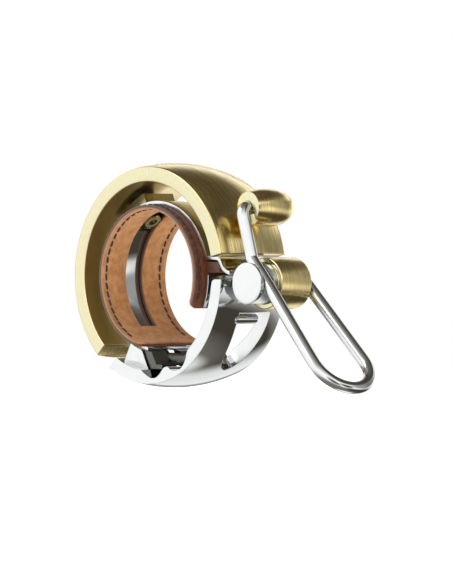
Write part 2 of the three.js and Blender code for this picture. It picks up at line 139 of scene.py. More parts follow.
PIN = {"head": 4.87, "head_long": 1.15, "neck": 2.2, "shaft": 1.6, "front": -5.7, "rear": 5.6, "tail": 8.6}
CLIP = {"inner": 1.76, "gap": 0.4, "gap_out": 0.8}
SCREW_HEAD = {"radius": 2.5, "long": 2.7, "key": 1.3, "key_deep": 1.4}
THREAD_SHAPE = {"radius": 1.5, "root": 1.28, "pitch": 0.5}
NUT_SHAPE = {"radius": 1.98, "edge": 0.25, "thread": 1.62}

# right and down say how far the camera's aim lies from the bar's axis
CAMERA = {"azimuth": 47.79, "elevation": 0.3, "distance": 850.0, "right": 18.8, "down": 3.7, "lens": 221.1}
FLOOR = {"z": -60.0, "half": 900.0}


# ---------- mesh helpers ----------
def polar(radius, degrees, centre=(0.0, 0.0)):
    a = math.radians(degrees)
    return (centre[0] + radius * math.cos(a), centre[1] + radius * math.sin(a))


def arc(radius, start, end, steps, centre=(0.0, 0.0)):
    return [polar(radius, start + (end - start) * n / steps, centre) for n in range(steps + 1)]


def sector(inner, outer, start, end, steps):
    """Outline of a piece of a flat ring."""
    return arc(outer, start, end, steps) + arc(inner, end, start, steps)


def ring_face(start, count):
    return tuple(range(start, start + count))


def band(a, b, count, closed=True):
    """Four-sided faces between two rows of vertices that start at a and b."""
    after = [(k + 1) % count for k in range(count if closed else count - 1)]
    return [(a + k, a + n, b + n, b + k) for k, n in enumerate(after)]


def raw_mesh(name, verts, faces):
    """An object from vertices in mm, scaled to metres, with its normals facing out."""
    mesh = bpy.data.meshes.new(name)
    mesh.from_pydata([Vector(v) * MM for v in verts], [], faces)
    bm = bmesh.new()
    bm.from_mesh(mesh)
    bmesh.ops.remove_doubles(bm, verts=bm.verts, dist=1e-7)
    bmesh.ops.recalc_face_normals(bm, faces=bm.faces)
    bm.to_mesh(mesh)
    bm.free()
    obj = bpy.data.objects.new(name, mesh)
    bpy.context.scene.collection.objects.link(obj)
    return obj


def apply_modifiers(obj):
    bpy.context.view_layer.update()
    graph = bpy.context.evaluated_depsgraph_get()
    mesh = bpy.data.meshes.new_from_object(obj.evaluated_get(graph))
    obj.modifiers.clear()
    obj.data = mesh


def bevel(obj, width, segments=3, angle=35.0):
    mod = obj.modifiers.new("bevel", "BEVEL")
    mod.width = width * MM
    mod.segments = segments
    mod.limit_method = "ANGLE"
    mod.angle_limit = math.radians(angle)
    mod.use_clamp_overlap = True
    apply_modifiers(obj)


def boolean(obj, other, operation="DIFFERENCE"):
    mod = obj.modifiers.new("cut", "BOOLEAN")
    mod.operation = operation
    mod.solver = "EXACT"
    mod.object = other
    apply_modifiers(obj)
    bpy.data.objects.remove(other)


def finish_piece(obj, body, replaces, material, smooth_angle=32.0):
    """Shades and dresses a piece, parents it to its body's empty and hides the CAD nodes it replaces."""
    obj.data.polygons.foreach_set("use_smooth", [True] * len(obj.data.polygons))
    obj.data.set_sharp_from_angle(angle=math.radians(smooth_angle))
    obj.data.materials.clear()
    obj.data.materials.append(material)
    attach(obj, body)
    if replaces:
        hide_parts(*replaces)


def revolve(name, profile, start=0.0, end=360.0, steps=96, centre=(0.0, 0.0)):
    """A closed (radius, y) profile turned about a Y-parallel axis; a part turn gets flat ends."""
    full = abs(end - start) >= 360.0
    rows = steps if full else steps + 1
    verts = []
    for n in range(rows):
        for radius, y in profile:
            x, z = polar(radius, start + (end - start) * n / steps, centre)
            verts.append((x, y, z))
    count = len(profile)
    faces = []
    for n in range(steps):
        faces += band(n * count, (n + 1) % rows * count, count)
    if not full:
        faces += [ring_face(0, count), ring_face((rows - 1) * count, count)]
    return raw_mesh(name, verts, faces)


def prism(name, outline, y0, y1):
    """An (x, z) outline given thickness from y0 to y1."""
    count = len(outline)
    verts = [(x, y0, z) for x, z in outline] + [(x, y1, z) for x, z in outline]
    faces = [ring_face(0, count), ring_face(count, count)] + band(0, count, count)
    return raw_mesh(name, verts, faces)


def disc(name, radius, y0, y1, centre, steps=96):
    """A round plug along Y, used as a cutter."""
    return revolve(name, [(0.0, y0), (radius, y0), (radius, y1), (0.0, y1)], steps=steps, centre=centre)


def rod(name, profile, axis_to_world, steps=48):
    """A (radius, length) profile turned about +Z and placed by a matrix; it starts and ends on the axis."""
    verts = []
    for n in range(steps):
        a = 2 * math.pi * n / steps
        for radius, along in profile:
            verts.append(axis_to_world @ Vector((radius * math.cos(a), radius * math.sin(a), along)))
    count = len(profile)
    faces = []
    for n in range(steps):
        faces += band(n * count, (n + 1) % steps * count, count, closed=False)
    return raw_mesh(name, verts, faces)


def tube(name, points, radii, sides=20):
    """A round tube through points, with a radius at each point and flat ends."""
    points = [Vector(p) for p in points]
    tangents = []
    for n in range(len(points)):
        before, after = points[max(n - 1, 0)], points[min(n + 1, len(points) - 1)]
        tangents.append((after - before).normalized())
    normal = tangents[0].orthogonal().normalized()
    verts, faces = [], []
    for n, (point, tangent) in enumerate(zip(points, tangents)):
        normal = (normal - tangent * normal.dot(tangent)).normalized()
        side = tangent.cross(normal)
        for k in range(sides):
            a = 2 * math.pi * k / sides
            verts.append(point + radii[n] * (normal * math.cos(a) + side * math.sin(a)))
    last = (len(points) - 1) * sides
    for start in range(0, last, sides):
        faces += band(start, start + sides, sides)
    return raw_mesh(name, verts, faces + [ring_face(0, sides), ring_face(last, sides)])


def smooth_path(points, per_span):
    """A centripetal Catmull-Rom curve through the points."""
    pts = [Vector(p) for p in points]
    pts = [2 * pts[0] - pts[1]] + pts + [2 * pts[-1] - pts[-2]]
    path = []
    for n in range(1, len(pts) - 2):
        quad = pts[n - 1:n + 3]
        knots = [0.0]
        for a, b in zip(quad, quad[1:]):
            knots.append(knots[-1] + max((b - a).length, 1e-6) ** 0.5)
        for step in range(per_span):
            t = knots[1] + (knots[2] - knots[1]) * step / per_span

            def mix(p, q, i, j):
                w = (t - knots[i]) / (knots[j] - knots[i])
                return p * (1 - w) + q * w

            first, second, third = (mix(quad[i], quad[i + 1], i, i + 1) for i in range(3))
            path.append(mix(mix(first, second, 0, 2), mix(second, third, 1, 3), 1, 2))
    path.append(pts[-2])
    return path


def smooth_outline(outline, per_span):
    """The same curve through the points of a flat outline."""
    return [(p.x, p.z) for p in smooth_path([(x, 0.0, z) for x, z in outline], per_span)]


# ---------- materials ----------
class Nodes:
    """A new material, and helpers that add and link its nodes; an input i0 is a node's first socket."""

    def __init__(self, name):
        self.material = bpy.data.materials.new(name)
        self.material.use_nodes = True
        self.tree = self.material.node_tree
        self.shader = self.tree.nodes["Principled BSDF"]

    def add(self, kind, settings=None, **inputs):
        node = self.tree.nodes.new(kind)
        for key, value in (settings or {}).items():
            setattr(node, key, value)
        for key, value in inputs.items():
            by_number = key[0] == "i" and key[1:].isdigit()
            self.set(node.inputs[int(key[1:]) if by_number else key], value)
        return node

    def set(self, socket, value):
        if isinstance(value, bpy.types.NodeSocket):
            self.tree.links.new(value, socket)
        else:
            socket.default_value = value

    def surface(self, **values):
        """Sets the shader's inputs, such as base_color, and gives the material back."""
        for name, value in values.items():
            self.set(self.shader.inputs[name.replace("_", " ").title()], value)
        return self.material

    def math(self, operation, a, b=0.0):
        return self.add("ShaderNodeMath", {"operation": operation}, i0=a, i1=b).outputs[0]

    def noise(self, vector, scale, detail=3.0, roughness=0.5):
        node = self.add("ShaderNodeTexNoise", Vector=vector, Scale=scale, Detail=detail, Roughness=roughness)
        return node.outputs["Fac"]

    def ramp(self, factor, stops):
        node = self.add("ShaderNodeValToRGB", Fac=factor)
        elements = node.color_ramp.elements
        while len(elements) < len(stops):
            elements.new(0.5)
        for element, (position, color) in zip(elements, stops):
            element.position = position
            element.color = (*color, 1.0)
        return node.outputs["Color"]

    def remap(self, value, low, high, to_low, to_high):
        node = self.add("ShaderNodeMapRange", Value=value)
        for socket, number in zip(list(node.inputs)[1:5], (low, high, to_low, to_high)):
            socket.default_value = number
        return node.outputs[0]

    def mix_color(self, factor, a, b):
        node = self.add("ShaderNodeMix", {"data_type": "RGBA"}, i0=factor, i6=a, i7=b)
        return node.outputs[2]

    def bump(self, height, strength, distance_mm, normal=None):
        node = self.add("ShaderNodeBump", Strength=strength, Distance=distance_mm * MM, Height=height)
        if normal is not None:
            self.set(node.inputs["Normal"], normal)
        return node.outputs["Normal"]

    def rounded(self, radius_mm):
        return self.add("ShaderNodeBevel", {"samples": 4}, Radius=radius_mm * MM).outputs[0]


def rgba(r, g, b):
    return (r, g, b, 1.0)


def millimetre_coordinates(n):
    """The row frame's position in mm, and how far the face looks along Y."""
    place = n.add("ShaderNodeTexCoord")
    scaled = n.add("ShaderNodeVectorMath", {"operation": "SCALE"}, i0=place.outputs["Object"])
    scaled.inputs["Scale"].default_value = 1.0 / MM
    facing = n.add("ShaderNodeSeparateXYZ", Vector=place.outputs["Normal"]).outputs[1]
    end_face = n.remap(n.math("ABSOLUTE", facing), 0.80, 0.92, 0.0, 1.0)
    return scaled.outputs[0], end_face


def turning_coordinates(n, place, centre):
    """The angle round an axis along Y, the height along it and the two offsets from it."""
    xyz = n.add("ShaderNodeSeparateXYZ", Vector=place)
    dx = n.math("SUBTRACT", xyz.outputs[0], centre[0])
    dz = n.math("SUBTRACT", xyz.outputs[2], centre[1])
    return n.math("ARCTAN2", dz, dx), xyz.outputs[1], dx, dz


def brushed_brass(name, centre, around, across, inside=0.0, shade=1.0):
    """Satin brass with marks round an axis along Y, straight grain on its end faces and a smooth bore whose
    colour is painted lighter and warmer as painted light; shade below 1 darkens every tone as painted shade.
    """
    n = Nodes(name)

    # shade below 1 gives a darker copy of the same brass: painted shade
    def tone(*color):
        return tuple(shade * part for part in color)

    place, end_face = millimetre_coordinates(n)
    angle, y, dx, dz = turning_coordinates(n, place, centre)
    turns, rows = n.math("MULTIPLY", angle, around), n.math("MULTIPLY", y, across)
    marks = n.add("ShaderNodeCombineXYZ", X=turns, Y=rows)
    grain = n.add("ShaderNodeCombineXYZ", X=n.math("MULTIPLY", dx, 5.0), Y=n.math("MULTIPLY", dz, 0.5), Z=7.0)
    side = n.remap(n.noise(marks.outputs[0], 1.0, 5.0, 0.72), 0.34, 0.66, 0.0, 1.0)
    flat = n.remap(n.noise(grain.outputs[0], 1.6, 3.0), 0.3, 0.7, 0.35, 0.65)
    streak = n.add("ShaderNodeMix", i0=end_face, i2=side, i3=flat).outputs[0]
    radius = n.math("SQRT", n.math("ADD", n.math("MULTIPLY", dx, dx), n.math("MULTIPLY", dz, dz)))
    within = n.remap(radius, inside, inside + 0.1, 1.0, 0.0)
    bore = n.math("MULTIPLY", within, n.math("SUBTRACT", 1.0, end_face))
    calm = n.add("ShaderNodeMix", i0=n.math("MULTIPLY", bore, 0.85), i2=streak, i3=0.5).outputs[0]
    turned = n.ramp(calm, [
        (0.0, tone(0.48, 0.33, 0.10)), (0.5, tone(0.80, 0.64, 0.28)), (1.0, tone(0.94, 0.83, 0.49)),
    ])
    faced = n.ramp(calm, [(0.3, tone(0.54, 0.50, 0.31)), (0.7, tone(0.61, 0.57, 0.385))])
    # painted light: inside the bore the colour is mixed towards a light warm brass, standing in for light
    # bouncing into the ringer
    bore_painted_light = n.mix_color(n.math("MULTIPLY", bore, 0.75), turned, rgba(1.0, 0.83, 0.47))
    satin = n.remap(calm, 0.0, 1.0, 0.26, 0.14)
    tangent = n.add("ShaderNodeTangent", {"direction_type": "RADIAL", "axis": "Y"})
    return n.surface(
        base_color=n.mix_color(end_face, bore_painted_light, faced), metallic=1.0, anisotropic=0.5,
        roughness=n.math("ADD", satin, n.math("MULTIPLY", bore, 0.12)),
        tangent=tangent.outputs[0], normal=n.bump(calm, 0.30, 0.02),
    )


def polished(name, face_rough=0.28, edge=0.0):
    """Polished steel with faint smears; faces square to the bar are satin."""
    n = Nodes(name)
    place, end_face = millimetre_coordinates(n)
    smear = n.noise(place, 0.35, 3.0)
    speck = n.noise(place, 9.0, 2.0)
    color = (0.60, 0.615, 0.61)
    dark = tuple(c * 0.97 for c in color)
    smooth = n.remap(smear, 0.3, 0.7, 0.0425, 0.06)
    satin = n.remap(speck, 0.3, 0.7, face_rough * 0.95, face_rough * 1.05)
    return n.surface(
        base_color=n.ramp(smear, [(0.35, dark), (0.65, color)]), metallic=1.0,
        roughness=n.add("ShaderNodeMix", i0=end_face, i2=smooth, i3=satin).outputs[0],
        normal=n.bump(speck, 0.03, 0.005, n.rounded(edge) if edge else None),
    )


def satin_steel(name, color, rough=0.34):
    """Dull metal with fine drawn lines and slightly rounded edges."""
    n = Nodes(name)
    place, _ = millimetre_coordinates(n)
    stretched = n.add("ShaderNodeVectorMath", {"operation": "MULTIPLY"}, i0=place)
    stretched.inputs[1].default_value = (6.0, 0.5, 1.2)
    lines = n.noise(stretched.outputs[0], 1.0, 4.0)
    dark = tuple(c * 0.72 for c in color)
    return n.surface(
        base_color=n.ramp(lines, [(0.3, dark), (0.7, color)]), metallic=1.0,
        roughness=n.remap(lines, 0.3, 0.7, rough * 0.8, rough * 1.2),
        normal=n.bump(lines, 0.2, 0.03, n.rounded(0.15)),
    )


def hide(name, tones, rough, grain_scale, nap_scale, sheen, edge_color):
    """Leather: mottled between three tones, grain in the bump and a painted edge."""
    n = Nodes(name)
    place, end_face = millimetre_coordinates(n)
    mottle = n.noise(place, 0.55, 5.0, 0.6)
    nap = n.noise(place, nap_scale, 4.0, 0.7)
    blend = n.math("ADD", n.math("MULTIPLY", mottle, 0.62), n.math("MULTIPLY", nap, 0.38))
    pores = n.add("ShaderNodeTexVoronoi", {"feature": "DISTANCE_TO_EDGE"}, Vector=place, Scale=grain_scale)
    edge_dark = rgba(*(c * 0.72 for c in edge_color))
    edge_tone = n.mix_color(n.noise(place, 1.6, 4.0), edge_dark, rgba(*edge_color))
    stops = list(zip((0.34, 0.5, 0.66), tones))
    coarse = n.bump(n.remap(pores.outputs["Distance"], 0.0, 0.25, 0.0, 1.0), 0.4, 0.05)
    return n.surface(
        base_color=n.mix_color(end_face, n.ramp(blend, stops), edge_tone), sheen_weight=sheen,
        roughness=n.remap(end_face, 0.0, 1.0, rough, 0.42), sheen_roughness=0.5,
        normal=n.bump(nap, 0.5, 0.05, coarse),
    )


def waxed_thread():
    n = Nodes("waxed_thread")
    place, _ = millimetre_coordinates(n)
    diagonal = {"bands_direction": "DIAGONAL"}
    twist = n.add("ShaderNodeTexWave", diagonal, Vector=place, Scale=2.6, Distortion=0.6).outputs["Fac"]
    color = n.ramp(twist, [(0.2, (0.006, 0.011, 0.020)), (0.8, (0.028, 0.045, 0.070))])
    return n.surface(base_color=color, roughness=0.42, normal=n.bump(twist, 0.6, 0.06))


def black_nylon():
    n = Nodes("black_nylon")
    place, _ = millimetre_coordinates(n)
    grain = n.noise(place, 5.0, 3.0)
    color = n.ramp(grain, [(0.3, (0.012, 0.012, 0.013)), (0.7, (0.03, 0.03, 0.032))])
    return n.surface(base_color=color, roughness=0.5, normal=n.bump(grain, 0.2, 0.03))


BRASS_RING = brushed_brass("ringer_brass", (0.0, 0.0), 3.0, 2.4, inside=22.8)
BRASS_HOUSING = brushed_brass("housing_brass", AXIS, 0.45, 4.6)
BRASS_HAMMER = brushed_brass("hammer_brass", (HAMMER.x, HAMMER.z), 0.45, 4.6)
# painted shade: the ringer's brass darkened to 0.42 for the seat and its screw, which sit in shade between the
# strap and the ringer
BRASS_SEAT_PAINTED_SHADE = brushed_brass("seat_brass_painted_shade", (0.0, 0.0), 3.0, 2.4, shade=0.42)
CHROME = polished("polished_steel")
CHROME_BRACKET = polished("bracket_steel", edge=0.22)
CHROME_HEAD = polished("pin_steel", face_rough=0.22)
STEEL = satin_steel("dark_steel", (0.13, 0.135, 0.125))
SPRING_STEEL = satin_steel("spring_steel", (0.20, 0.21, 0.23))
BRONZE = satin_steel("sintered_bronze", (0.45, 0.30, 0.14), 0.45)
SUEDE = hide(
    "tan_suede", [(0.33, 0.135, 0.044), (0.49, 0.235, 0.085), (0.62, 0.325, 0.135)],
    rough=0.92, grain_scale=3.2, nap_scale=9.0, sheen=0.10, edge_color=(0.32, 0.150, 0.065),
)
TOP_GRAIN = hide(
    "brown_leather", [(0.085, 0.024, 0.009), (0.170, 0.048, 0.017), (0.230, 0.072, 0.026)],
    rough=0.46, grain_scale=2.4, nap_scale=3.0, sheen=0.05, edge_color=(0.088, 0.042, 0.024),
)
THREAD = waxed_thread()
NYLON = black_nylon()


# ---------- the two rings ----------
def crown(y):
    """How far the bulge stands above the rings' front edge at y."""
    return ((FRONT - CROWN["y"]) ** 2 - (y - CROWN["y"]) ** 2) / (2 * CROWN["radius"])


def ring_profile(size):
    """Closed section of a crowned ring: flat inside, bulging outside, flat front and back."""
    rows = 28
    profile = [(size["inner"], FRONT), (size["inner"], BACK)]
    for n in range(rows + 1):
        y = BACK + (FRONT - BACK) * n / rows
        profile.append((min(size["outer"] + crown(y), CROWN_R), y))
    return profile


def make_ringer():
    obj = revolve("ringer_body", ring_profile(RINGER), RINGER["from"], RINGER["to"], 216)
    bevel(obj, RINGER["edge"], 3, 40)
    finish_piece(obj, "collar", ["ringer"], BRASS_RING)


def notch_outline():
    """Cutter for the inner edge of the bracket's front, closed well above it."""
    left, right = NOTCH_FLOOR[0][0], NOTCH_FLOOR[-1][0]
    return smooth_outline(NOTCH_FLOOR, 5) + [(right, NOTCH["top"]), (left, NOTCH["top"])]


def bracket_window():
    """Cutter for the tapering window: its outline on two radii, either side of the wall."""
    ring = smooth_outline(WINDOW_FRONT, 5) + smooth_outline(WINDOW_REAR, 5)[1:]
    verts = []
    for radius in (20.0, 30.0):
        for angle, y in ring:
            x, z = polar(radius, angle)
            verts.append((x, y, z))
    count = len(ring)
    faces = band(0, count, count)
    for layer in (0, count):
        for k in range(count // 2):  # strips across the outline, from its top to its foot
            quad = (layer + k, layer + k + 1, layer + count - 2 - k, layer + count - 1 - k)
            face = tuple(dict.fromkeys(quad))
            if len(face) > 2:
                faces.append(face)
    return raw_mesh("window_cutter", verts, faces)


def ear_outline():
    """Side of one ear: a round eye at the pin, a saddle to the band above and a straight edge below."""
    return arc(EAR["eye"], -90, 138, 60, AXIS) + EAR_SADDLE + [(EAR_SADDLE[-1][0], PIVOT.z - EAR["eye"])]


def web_outline():
    """The thin sheet beside the lug; its free edge is an arc round the pin, so it clears the lug."""
    inner, outer, start = WEB["inner"], WEB["outer"], WEB["from"]
    edge = [p for p in arc(WEB["edge"], *WEB_EDGE, 12, AXIS) if inner < math.hypot(*p) < outer]
    corner = math.degrees(math.atan2(edge[-1][1], edge[-1][0])) % 360
    return arc(outer, start, corner, 12) + edge[::-1] + arc(inner, WEB["to"], start, 8)


def cut_bracket_ends(body):
    """Slants the left end, and cuts the right end level with a round inner corner."""
    inner, outer = polar(*BRACKET_END["inner"]), polar(*BRACKET_END["outer"])
    left = [inner, outer, (-40, outer[1]), (-40, -10), (inner[0], -10)]
    boolean(body, prism("end", left, FRONT - PAST, BACK + PAST))
    top, inside, corner = BRACKET["top"], BRACKET["inner"], BRACKET["corner"]
    right = [(15, top - 1.6), (inside, top - 1.6)] + arc(corner, 180, 90, 8, (inside + corner, top - corner))
    right += [(35, top), (35, 12), (15, 12)]
    boolean(body, prism("top", right, FRONT - PAST, BACK + PAST))


def make_bracket():
    body = revolve("bracket_body", ring_profile(BRACKET), BRACKET["from"], BRACKET["to"], 172)
    cut_bracket_ends(body)
    boolean(body, bracket_window())
    boolean(body, prism("notches", notch_outline(), FRONT - PAST, NOTCH["back"]))
    head, step, shank, end = (SCREW_GROOVE[key] for key in ("head", "step", "shank", "end"))
    profile = [(0, 0), (head, 0), (head, step), (shank, step), (shank, end), (0, end)]
    boolean(body, rod("screw_groove", profile, clamp_axis(SCREW_GROOVE["x"])))
    for y in EAR["at"]:
        boolean(body, prism("ear", ear_outline(), y, y + EAR["thick"]), "UNION")
    boolean(body, disc("eye", EAR["bore"], -9, 9, AXIS))
    boolean(body, prism("web", web_outline(), FRONT + WEB["y0"], FRONT + WEB["y1"]), "UNION")
    finish_piece(body, "bracket", ["bracket"], CHROME_BRACKET, 28)


# ---------- leather ----------
def stitch_lines():
    return (LEATHER_LOW.y + STITCH["front"], LEATHER_HIGH.y - STITCH["back"])


def band_rows():
    """Where the leather's rows of vertices lie along Y: its edges, the slot and five for each groove."""
    y0, y1, half = LEATHER_LOW.y, LEATHER_HIGH.y, GROOVE["half"]
    rows = {y0, y0 + 0.35, -7.5, -5.5, SLOT["y0"], -1.6, 0.3, SLOT["y1"], 4.0, 6.0, y1 - 0.35, y1}
    for line in stitch_lines():
        rows |= {line - half, line - 0.28, line, line + 0.28, line + half}
    return sorted(rows)


def band_angles():
    """Where the leather's columns of vertices lie, closer together at its two rounded ends."""
    first, last = LEATHER["from"], LEATHER["to"]
    angles = {first + 1.6 * n for n in range(179)} | {SLOT["from"], SLOT["to"], last}
    angles |= {first + 0.5 * n for n in range(12)} | {last - 0.5 * n for n in range(12)}
    return sorted(a for a in angles if first <= a <= last)


def rounded_end(angle, y, outer):
    """The angle, pulled in from the strip's ends in the rows that cross the rounded corners."""
    corner, ease = LEATHER["corner"], 8.0
    near = min(y - LEATHER_LOW.y, LEATHER_HIGH.y - y)
    if near >= corner:
        return angle
    cut = corner - math.sqrt(corner ** 2 - (corner - near) ** 2)
    pull = math.degrees(cut / outer)
    after, before = angle - LEATHER["from"], LEATHER["to"] - angle
    if after < ease:
        angle += pull * (1 - after / ease)
    if before < ease:
        angle -= pull * (1 - before / ease)
    return angle


def in_slot(angle, y):
    """Whether a cell of the leather, given by its middle, lies in the slot."""
    return SLOT["from"] < angle < SLOT["to"] and SLOT["y0"] < y < SLOT["y1"]


def groove_depth(angle, y):
    """How far a stitch groove is pressed in at a vertex."""
    if not LEATHER["from"] + GROOVE["ends"] < angle < LEATHER["to"] - GROOVE["ends"]:
        return 0.0
    offsets = [abs(y - line) / GROOVE["half"] for line in stitch_lines()]
    return sum(GROOVE["deep"] * (0.5 + 0.5 * math.cos(math.pi * off)) for off in offsets if off < 1)


def hide_band(name, inner, outer, grooved, groove_way):
    """A curved strip with rounded corners, a long slot, and grooves in its `grooved` side."""
    rows, angles = band_rows(), band_angles()
    verts, index, faces = [], {}, []

    def vertex(i, j, base):
        key = (i, j, base)
        if key not in index:
            angle = rounded_end(angles[i], rows[j], outer)
            depth = groove_depth(angle, rows[j]) if base == grooved else 0.0
            x, z = polar(base + groove_way * depth, angle)
            index[key] = len(verts)
            verts.append((x, rows[j], z))
        return index[key]

    def solid(i, j):
        if not (0 <= i < len(angles) - 1 and 0 <= j < len(rows) - 1):
            return False
        return not in_slot((angles[i] + angles[i + 1]) / 2, (rows[j] + rows[j + 1]) / 2)

    cells = [(i, j) for i in range(len(angles) - 1) for j in range(len(rows) - 1) if solid(i, j)]
    for i, j in cells:
        for base in (inner, outer):
            corners = ((i, j), (i + 1, j), (i + 1, j + 1), (i, j + 1))
            faces.append([vertex(*corner, base) for corner in corners])
        walls = [
            ((i - 1, j), (i, j), (i, j + 1)), ((i + 1, j), (i + 1, j), (i + 1, j + 1)),
            ((i, j - 1), (i, j), (i + 1, j)), ((i, j + 1), (i, j + 1), (i + 1, j + 1)),
        ]
        for beyond, a, b in walls:
            if not solid(*beyond):
                faces.append([vertex(*a, inner), vertex(*b, inner), vertex(*b, outer), vertex(*a, outer)])
    return raw_mesh(name, verts, faces)


def make_leather():
    inner, split, outer, gap = LEATHER["inner"], LEATHER["split"], LEATHER["outer"], 0.02
    liner = hide_band("suede_liner", inner, split - gap, inner, 1)
    bevel(liner, 0.12, 2, 50)
    finish_piece(liner, "collar", ["leather_liner"], SUEDE, 50)
    skin = hide_band("leather_skin", split + gap, outer, outer, -1)
    bevel(skin, 0.24, 3, 50)
    finish_piece(skin, "collar", ["leather_outer"], TOP_GRAIN, 50)


def make_tab():
    """The leather tongue under the strap's ledge."""
    x0, x1, z0, z1 = TAB["x0"], TAB["x1"], TAB["z0"], TAB["z1"]
    outline = [(x0, z0), (x1 - 0.25, z0), (x1, z0 + 0.3), (x1, z1 - 0.3), (x1 - 0.25, z1), (x0, z1)]
    tab = prism("leather_tab", outline, STRAP_LOW.y + TAB["inset"], STRAP_HIGH.y - TAB["inset"])
    bevel(tab, 0.25, 3, 40)
    finish_piece(tab, "collar", [], TOP_GRAIN)


def stitch_row(verts, faces, radius, y):
    """Adds one row of plump stitches whose ends dip into the leather."""
    start, end = LEATHER["from"] + STITCH["from"], LEATHER["to"] - STITCH["to"]
    pitch = math.degrees(STITCH["pitch"] / radius)
    half = math.degrees(STITCH["long"] / 2 / radius)
    into = 1 if radius < LEATHER["split"] else -1
    sides, beads = 8, 7
    for n in range(int((end - start) / pitch)):
        middle = start + pitch * (n + 0.5)
        base = len(verts)
        for k in range(beads):
            t = -1 + 2 * k / (beads - 1)
            fat = STITCH["radius"] * math.sqrt(max(1 - (0.97 * t) ** 4, 0.02))
            angle = middle + half * t
            cx, cz = polar(radius + into * STITCH["sink"] * t ** 6, angle)
            out_x, out_z = polar(1.0, angle)
            for side in range(sides):
                across, along_y = polar(fat, 360 * side / sides)
                verts.append((cx + out_x * across, y + STITCH["slant"] * t + along_y, cz + out_z * across))
        last = base + (beads - 1) * sides
        for a in range(base, last, sides):
            faces += band(a, a + sides, sides)
        faces += [ring_face(base, sides), ring_face(last, sides)]


def make_stitches():
    verts, faces = [], []
    for y in stitch_lines():
        stitch_row(verts, faces, LEATHER["inner"] + 0.05, y)
        stitch_row(verts, faces, LEATHER["outer"] - 0.03, y)
    finish_piece(raw_mesh("stitching", verts, faces), "collar", [], THREAD, 60)


# ---------- collar metalwork ----------
def strip(name, line, thick, y0, y1):
    """A bent strip of even thickness along a centre line in the XZ plane."""
    sides = {1: [], -1: []}
    for n, (x, z) in enumerate(line):
        ax, az = line[max(n - 1, 0)]
        bx, bz = line[min(n + 1, len(line) - 1)]
        long = math.hypot(bx - ax, bz - az)
        for sign in (1, -1):
            half = sign * thick / 2 / long
            sides[sign].append((x - half * (bz - az), z + half * (bx - ax)))
    return prism(name, sides[-1] + sides[1][::-1], y0, y1)


def make_strap():
    middle = (STRAP["inner"] + STRAP["outer"]) / 2
    start, end = STRAP["from"], STRAP["to"]
    line = smooth_outline(JOGGLE, 6) + LEDGE + [polar(middle, start)] + arc(middle, start + 1, end, 220)
    body = strip("strap_band", line, STRAP["outer"] - STRAP["inner"], STRAP_LOW.y, STRAP_HIGH.y)
    tail = STRAP_TAIL["x"]
    beside = [(tail, -3), (30, -3), (30, 6), (tail, 6)]
    for y0, y1 in ((FRONT, STRAP_TAIL["y0"]), (STRAP_TAIL["y1"], BACK)):
        boolean(body, prism("beside", beside, y0, y1))
    lo, hi = SEAT["angle"] - STRAP_WINDOW["half"], SEAT["angle"] + STRAP_WINDOW["half"]
    opening = prism("opening", sector(15, 20, lo, hi, 20), STRAP_WINDOW["y0"], STRAP_WINDOW["y1"])
    boolean(body, opening)
    bevel(body, 0.12, 2, 40)
    finish_piece(body, "collar", ["collar_strap"], CHROME)


def make_heel():
    outline = sector(STRAP["inner"], STRAP["outer"], HEEL["from"], HEEL["to"], 24)
    body = prism("heel_backing", outline, STRAP_LOW.y, STRAP_HIGH.y)
    bevel(body, 0.15, 3, 40)
    finish_piece(body, "collar", ["heel_plate"], CHROME)


def make_lug():
    (top_x, top_z), (foot_x, foot_z), thick = LUG["top"], LUG["foot"], LUG["thick"]
    outline = [(top_x, top_z), (foot_x, foot_z), (foot_x + thick, foot_z), (top_x + thick, top_z)]
    body = prism("lug_fork", outline, STRAP_LOW.y, STRAP_HIGH.y)
    boolean(body, prism("toe", LUG_TOE, STRAP_LOW.y, LUG_FORK["y0"]), "UNION")
    boolean(body, disc("clear", LUG["clear"], FRONT, BACK, (0.0, 0.0), 160))
    fork_top = SCREW.z + LUG_FORK["above_screw"]
    slot = [(-10, -24), (10, -24), (10, fork_top), (-10, fork_top)]
    boolean(body, prism("slot", slot, LUG_FORK["y0"], LUG_FORK["y1"]))
    finish_piece(body, "collar", ["clamp_lug"], STEEL, 28)


def clamp_axis(x=0.0):
    """Turns +Z into +X, on the clamp screw's axis and starting at x."""
    return Matrix.Translation((x, SCREW.y, SCREW.z)) @ Matrix.Rotation(math.pi / 2, 4, "Y")


def radial_matrix(angle, y):
    """Turns +Z into the outward radius at an angle in the XZ plane."""
    return Matrix.Translation((0, y, 0)) @ Matrix.Rotation(math.radians(90 - angle), 4, "Y")


def make_seat():
    lo, hi = SEAT["angle"] - SEAT["half"], SEAT["angle"] + SEAT["half"]
    body = prism("ringer_block", sector(SEAT["inner"], SEAT["outer"], lo, hi, 24), SEAT["y0"], SEAT["y1"])
    hole = [(0, 10), (BOLT["hole"], 10), (BOLT["hole"], 30), (0, 30)]
    boolean(body, rod("hole", hole, radial_matrix(SEAT["angle"], BOLT["y"]), 32))
    bevel(body, 0.3, 3, 40)
    finish_piece(body, "collar", ["ringer_seat"], BRASS_SEAT_PAINTED_SHADE)


def make_ringer_screw():
    key, key_end, shank, end = BOLT["key"], BOLT["key_end"], BOLT["shank"], BOLT["end"]
    profile = [(0, key_end), (key, key_end)] + BOLT_HEAD + [(shank, BOLT_HEAD[-1][1]), (shank, end), (0, end)]
    screw = rod("ringer_bolt", profile, radial_matrix(SEAT["angle"], BOLT["y"]))
    finish_piece(screw, "collar", ["ringer_screw"], BRASS_SEAT_PAINTED_SHADE)


